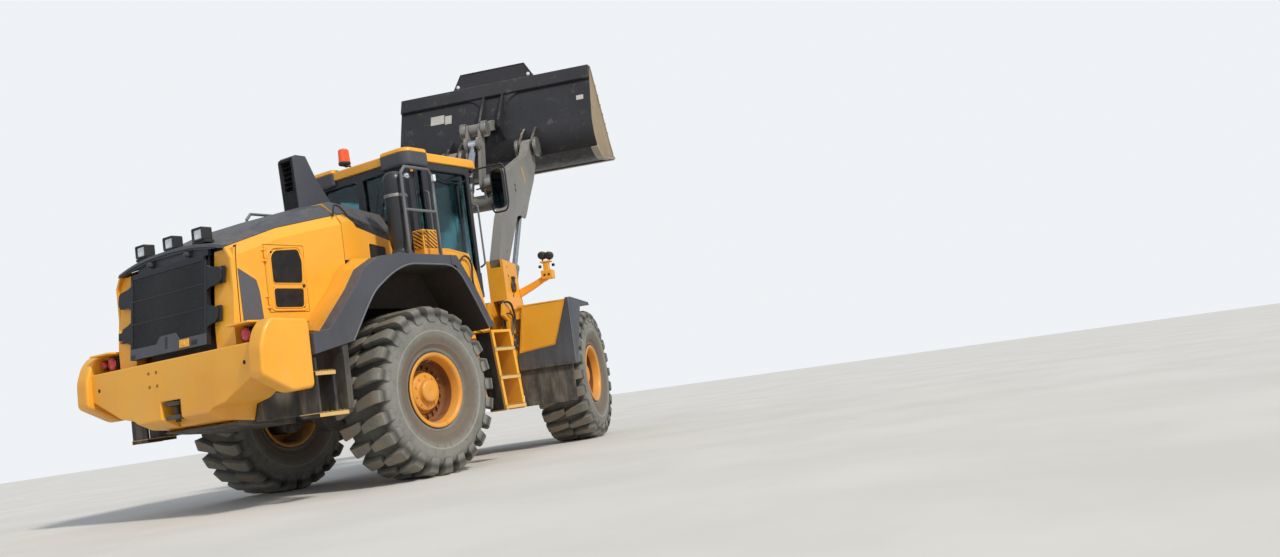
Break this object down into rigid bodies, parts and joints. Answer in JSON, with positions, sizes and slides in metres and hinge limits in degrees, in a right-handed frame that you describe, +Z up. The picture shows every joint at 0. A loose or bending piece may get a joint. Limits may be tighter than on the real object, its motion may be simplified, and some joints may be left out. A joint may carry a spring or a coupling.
{
  "type": "wheel loader",
  "caption": "Articulated wheel loader with a closed cab, a raised boom carrying a wide bucket, hinged covers, steps and rails.",
  "frame": {"origin": "centre of the overall box at ground level, in the stored pose with the boom raised and the machine steered to the left", "axes": "+X forward along the rear half of the machine, +Y to its left, +Z up"},
  "size_m": [8.8486, 4.6296, 6.0313],
  "materials": {
    "yellow_paint": "satin, dusty",
    "rim_paint": "satin",
    "charcoal_trim": "matt",
    "dark_steel": "satin",
    "ballast": "painted dark, dusty",
    "machinery": "plain",
    "black_mesh": "satin",
    "interior": "matt",
    "glass": "tinted",
    "lamp_red": "gloss",
    "boom_grey": "satin, dusty",
    "bucket_steel": "worn",
    "cylinder_paint": "satin",
    "chrome_rod": "polished",
    "tyre": "dusty"
  },
  "bodies": {
    "rear_frame": {"rear_chassis": "yellow_paint", "rear_axle": "yellow_paint", "counterweight": "ballast", "engine_block": "machinery", "hood_sides": "yellow_paint", "cowl": "yellow_paint", "exhaust_stack": "charcoal_trim", "precleaner": "black_mesh", "rear_fenders": "yellow_paint", "rear_fender_trim": "charcoal_trim", "rear_steps": "dark_steel", "cab_access": "yellow_paint", "handrails": "dark_steel", "tail_lamps": "lamp_red", "cab_base": "dark_steel", "cab_frame": "dark_steel", "cab_glass": "glass", "cab_roof": "yellow_paint", "cab_interior": "interior", "mirrors": "dark_steel"},
    "front_frame": {"front_chassis": "yellow_paint", "front_axle": "yellow_paint", "front_fenders": "yellow_paint", "front_fender_trim": "charcoal_trim", "lamp_arms": "yellow_paint"},
    "engine_hood": {"hood_top": "charcoal_trim"},
    "service_flap_left": {"service_door_left": "yellow_paint"},
    "service_flap_right": {"service_door_right": "yellow_paint"},
    "radiator_grille": {"grille": "black_mesh"},
    "left_cab_door": {"cab_door": "dark_steel", "cab_door_glass": "glass"},
    "boom_arms": {"boom": "boom_grey"},
    "boom_lever_pin": {"lever_pin": "dark_steel"},
    "boom_lever": {"lever": "boom_grey"},
    "lever_top_pin": {"link_pin": "dark_steel"},
    "bucket_link": {"link": "boom_grey"},
    "bucket_hinge_pins": {"bucket_pins": "dark_steel"},
    "bucket_shell": {"bucket": "bucket_steel"},
    "tilt_base_pin": {"tilt_pin": "dark_steel"},
    "tilt_cylinder": {"tilt_barrel": "cylinder_paint"},
    "tilt_piston_rod": {"tilt_rod": "chrome_rod"},
    "rear_left_wheel": {"rear_left_rim": "rim_paint", "rear_left_tyre": "tyre"},
    "rear_right_wheel": {"rear_right_rim": "rim_paint", "rear_right_tyre": "tyre"},
    "front_left_wheel": {"front_left_rim": "rim_paint", "front_left_tyre": "tyre"},
    "front_right_wheel": {"front_right_rim": "rim_paint", "front_right_tyre": "tyre"},
    "lift_cylinder_left": {"lift_barrel_left": "cylinder_paint"},
    "lift_piston_rod_left": {"lift_rod_left": "chrome_rod"},
    "steer_cylinder_left": {"steer_barrel_left": "cylinder_paint"},
    "steer_piston_rod_left": {"steer_rod_left": "chrome_rod"},
    "lift_cylinder_right": {"lift_barrel_right": "cylinder_paint"},
    "lift_piston_rod_right": {"lift_rod_right": "chrome_rod"},
    "steer_cylinder_right": {"steer_barrel_right": "cylinder_paint"},
    "steer_piston_rod_right": {"steer_rod_right": "chrome_rod"}
  },
  "joints": [
    {"name": "steering", "type": "hinge", "parent": "rear_frame", "child": "front_frame", "pos_m": [-0.50425, -0.83728, 0], "axis": [0, 0, 1], "range_deg": [-57.8, 16.2]},
    {"name": "rear_left_wheel_roll", "type": "hinge", "parent": "rear_frame", "child": "rear_left_wheel", "pos_m": [-2.27925, 0.30272, 0.88], "axis": [0, 1, 0], "continuous": true},
    {"name": "rear_right_wheel_roll", "type": "hinge", "parent": "rear_frame", "child": "rear_right_wheel", "pos_m": [-2.27925, -1.97728, 0.88], "axis": [0, 1, 0], "continuous": true},
    {"name": "front_left_wheel_roll", "type": "hinge", "parent": "front_frame", "child": "front_left_wheel", "pos_m": [0.75024, 0.85874, 0.88], "axis": [-0.3551, 0.9348, 0], "continuous": true},
    {"name": "front_right_wheel_roll", "type": "hinge", "parent": "front_frame", "child": "front_right_wheel", "pos_m": [1.55988, -1.27266, 0.88], "axis": [-0.3551, 0.9348, 0], "continuous": true},
    {"name": "hood_lift", "type": "hinge", "parent": "rear_frame", "child": "engine_hood", "pos_m": [-4.22925, -0.83728, 2.46], "axis": [0, -1, 0], "range_deg": [0, 60]},
    {"name": "service_flap_left_swing", "type": "hinge", "parent": "rear_frame", "child": "service_flap_left", "pos_m": [-3.84125, 0.07872, 1.8], "axis": [0, 0, 1], "range_deg": [0, 100]},
    {"name": "service_flap_right_swing", "type": "hinge", "parent": "rear_frame", "child": "service_flap_right", "pos_m": [-3.84125, -1.75328, 1.8], "axis": [0, 0, -1], "range_deg": [0, 100]},
    {"name": "grille_swing", "type": "hinge", "parent": "rear_frame", "child": "radiator_grille", "pos_m": [-4.30025, -0.01228, 1.53], "axis": [-0.1041, 0, -0.9946], "range_deg": [0, 90]},
    {"name": "cab_door_swing", "type": "hinge", "parent": "rear_frame", "child": "left_cab_door", "pos_m": [-1.33125, -0.04128, 1.95], "axis": [0, 0, 1], "range_deg": [0, 90]},
    {"name": "boom_lift", "type": "hinge", "parent": "front_frame", "child": "boom_arms", "pos_m": [0.29035, -0.53544, 2.15], "axis": [0.3551, -0.9348, 0], "range_deg": [-85.5, 0]},
    {"name": "bucket_level", "type": "hinge", "parent": "boom_arms", "child": "bucket_hinge_pins", "pos_m": [2.19684, 0.18877, 4.47141], "axis": [0.3551, -0.9348, 0], "range_deg": [0, 85.5]},
    {"name": "bucket_tilt", "type": "hinge", "parent": "bucket_hinge_pins", "child": "bucket_shell", "pos_m": [2.19684, 0.18877, 4.47141], "axis": [0.3551, -0.9348, 0], "range_deg": [-55, 40]},
    {"name": "lever_lift", "type": "hinge", "parent": "boom_arms", "child": "boom_lever_pin", "pos_m": [1.39213, -0.11691, 3.83399], "axis": [0.3551, -0.9348, 0], "range_deg": [0, 48.2]},
    {"name": "lever_tilt", "type": "hinge", "parent": "boom_lever_pin", "child": "boom_lever", "pos_m": [1.39213, -0.11691, 3.83399], "axis": [0.3551, -0.9348, 0], "range_deg": [-30.5, 22.5]},
    {"name": "link_lift", "type": "hinge", "parent": "boom_lever", "child": "lever_top_pin", "pos_m": [1.61687, -0.03154, 4.73], "axis": [0.3551, -0.9348, 0], "range_deg": [-55.5, 0]},
    {"name": "link_tilt", "type": "hinge", "parent": "lever_top_pin", "child": "bucket_link", "pos_m": [1.61687, -0.03154, 4.73], "axis": [0.3551, -0.9348, 0], "range_deg": [-20.5, 28]},
    {"name": "tilt_base_lift", "type": "hinge", "parent": "front_frame", "child": "tilt_base_pin", "pos_m": [0.25389, -0.54929, 2.406], "axis": [0.3551, -0.9348, 0], "range_deg": [-79, 0]},
    {"name": "tilt_cylinder_swing", "type": "hinge", "parent": "tilt_base_pin", "child": "tilt_cylinder", "pos_m": [0.25389, -0.54929, 2.406], "axis": [0.3551, -0.9348, 0], "range_deg": [-7.5, 5.5]},
    {"name": "tilt_stroke", "type": "slide", "parent": "tilt_cylinder", "child": "tilt_piston_rod", "axis": [0.4979, 0.1891, 0.8464], "range_m": [-0.12, 0.165]},
    {"name": "lift_cylinder_left_swing", "type": "hinge", "parent": "front_frame", "child": "lift_cylinder_left", "pos_m": [0.09403, -0.61001, 1.38], "axis": [0.3551, -0.9348, 0], "range_deg": [-67, 0]},
    {"name": "lift_stroke_left", "type": "slide", "parent": "lift_cylinder_left", "child": "lift_piston_rod_left", "axis": [0.5382, 0.2044, 0.8176], "range_m": [-0.885, 0]},
    {"name": "lift_cylinder_right_swing", "type": "hinge", "parent": "front_frame", "child": "lift_cylinder_right", "pos_m": [0.09403, -0.61001, 1.38], "axis": [0.3551, -0.9348, 0], "range_deg": [-67, 0]},
    {"name": "lift_stroke_right", "type": "slide", "parent": "lift_cylinder_right", "child": "lift_piston_rod_right", "axis": [0.5382, 0.2044, 0.8176], "range_m": [-0.885, 0]},
    {"name": "steer_cylinder_left_swing", "type": "hinge", "parent": "rear_frame", "child": "steer_cylinder_left", "pos_m": [-1.26425, -0.33728, 1.13], "axis": [0, 0, 1], "range_deg": [-11.8, 3.5]},
    {"name": "steer_stroke_left", "type": "slide", "parent": "steer_cylinder_left", "child": "steer_piston_rod_left", "axis": [0.9943, -0.1064, 0], "range_m": [-0.105, 0.366]},
    {"name": "steer_cylinder_right_swing", "type": "hinge", "parent": "rear_frame", "child": "steer_cylinder_right", "pos_m": [-1.26425, -1.33728, 1.13], "axis": [0, 0, 1], "range_deg": [-10, 3]},
    {"name": "steer_stroke_right", "type": "slide", "parent": "steer_cylinder_right", "child": "steer_piston_rod_right", "axis": [0.9717, 0.2362, 0], "range_m": [-0.375, 0.106]}
  ],
  "couplings": [
    {"joint": "bucket_level", "follows": "boom_lift", "ratio": -1},
    {"joint": "lever_lift", "follows": "boom_lift", "ratio": -0.5624},
    {"joint": "lever_tilt", "follows": "bucket_tilt", "ratio": 0.55},
    {"joint": "link_lift", "follows": "boom_lift", "ratio": 0.6459},
    {"joint": "link_tilt", "follows": "bucket_tilt", "ratio": -0.5},
    {"joint": "tilt_base_lift", "follows": "boom_lift", "ratio": 0.9224},
    {"joint": "tilt_cylinder_swing", "follows": "bucket_tilt", "ratio": 0.13},
    {"joint": "tilt_stroke", "follows": "bucket_tilt", "m_per_rad": -0.17},
    {"joint": "lift_cylinder_left_swing", "follows": "boom_lift", "ratio": 0.78},
    {"joint": "lift_stroke_left", "follows": "boom_lift", "m_per_rad": 0.5906},
    {"joint": "lift_cylinder_right_swing", "follows": "boom_lift", "ratio": 0.78},
    {"joint": "lift_stroke_right", "follows": "boom_lift", "m_per_rad": 0.5906},
    {"joint": "steer_cylinder_left_swing", "follows": "steering", "ratio": 0.2},
    {"joint": "steer_stroke_left", "follows": "steering", "m_per_rad": -0.36},
    {"joint": "steer_cylinder_right_swing", "follows": "steering", "ratio": 0.17},
    {"joint": "steer_stroke_right", "follows": "steering", "m_per_rad": 0.37}
  ]
}
